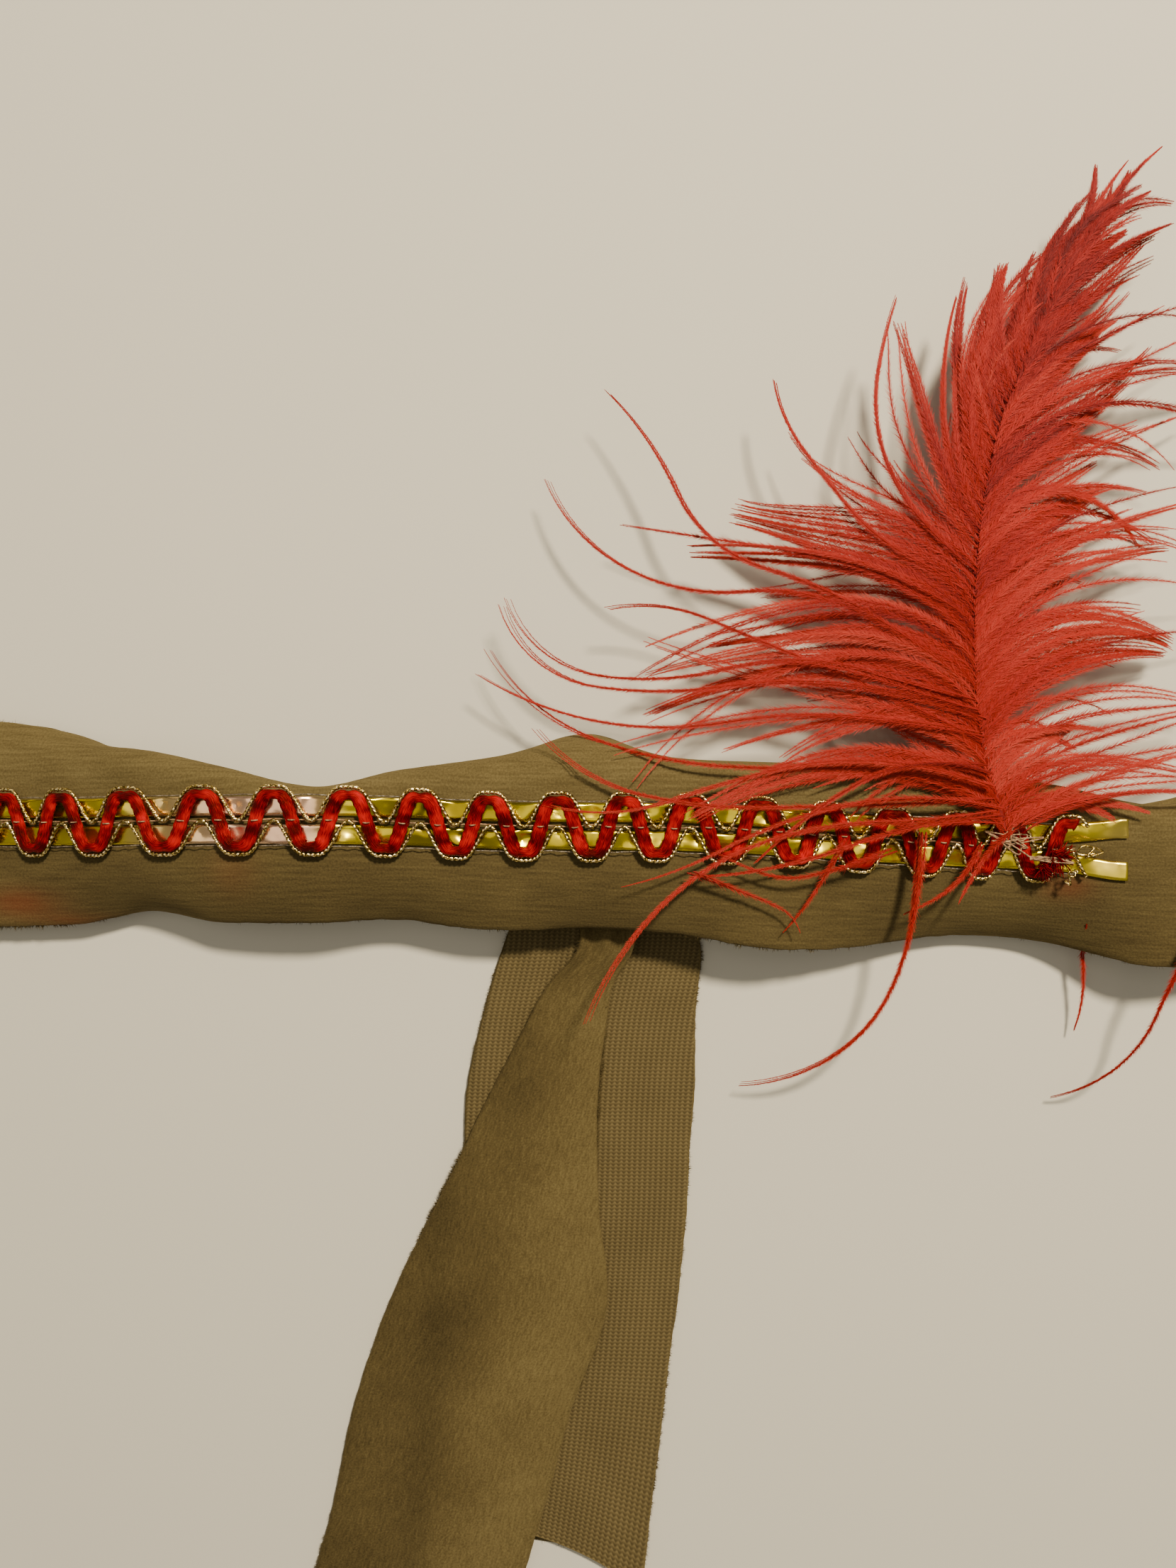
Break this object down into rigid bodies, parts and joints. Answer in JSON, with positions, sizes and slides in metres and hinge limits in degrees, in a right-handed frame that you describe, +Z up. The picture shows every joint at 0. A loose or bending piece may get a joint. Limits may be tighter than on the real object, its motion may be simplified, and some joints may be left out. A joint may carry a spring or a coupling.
{
  "type": "feathered headband",
  "caption": "Tie-on velour headband lying flat, with a wavy gold and red braid across its front, an upright ostrich plume stitched to it, and tails hanging from a knot behind.",
  "frame": {"origin": "on the surface that the headdress lies on, under the knot", "axes": "+X along the flattened band towards the plume's end, +Y the way the plume points, +Z up from the surface"},
  "size_m": [0.2624, 0.2454, 0.0182],
  "materials": {
    "velour": "matt olive-tan velour pile",
    "knit_back": "matt ribbed knit, the velour's back",
    "gold_foil": "mirror-bright metallised film",
    "red_satin": "satin braid",
    "gold_thread": "twisted metallic thread",
    "red_feather": "dyed ostrich feather"
  },
  "bodies": {
    "root": {"band": "velour", "knot": "velour", "tail_back": "knit_back", "tail_front": "velour", "gold_strip_upper": "gold_foil", "gold_strip_lower": "gold_foil", "red_cord": "red_satin", "gold_cord_upper": "gold_thread", "gold_cord_lower": "gold_thread", "plume": "red_feather"}
  },
  "joints": []
}
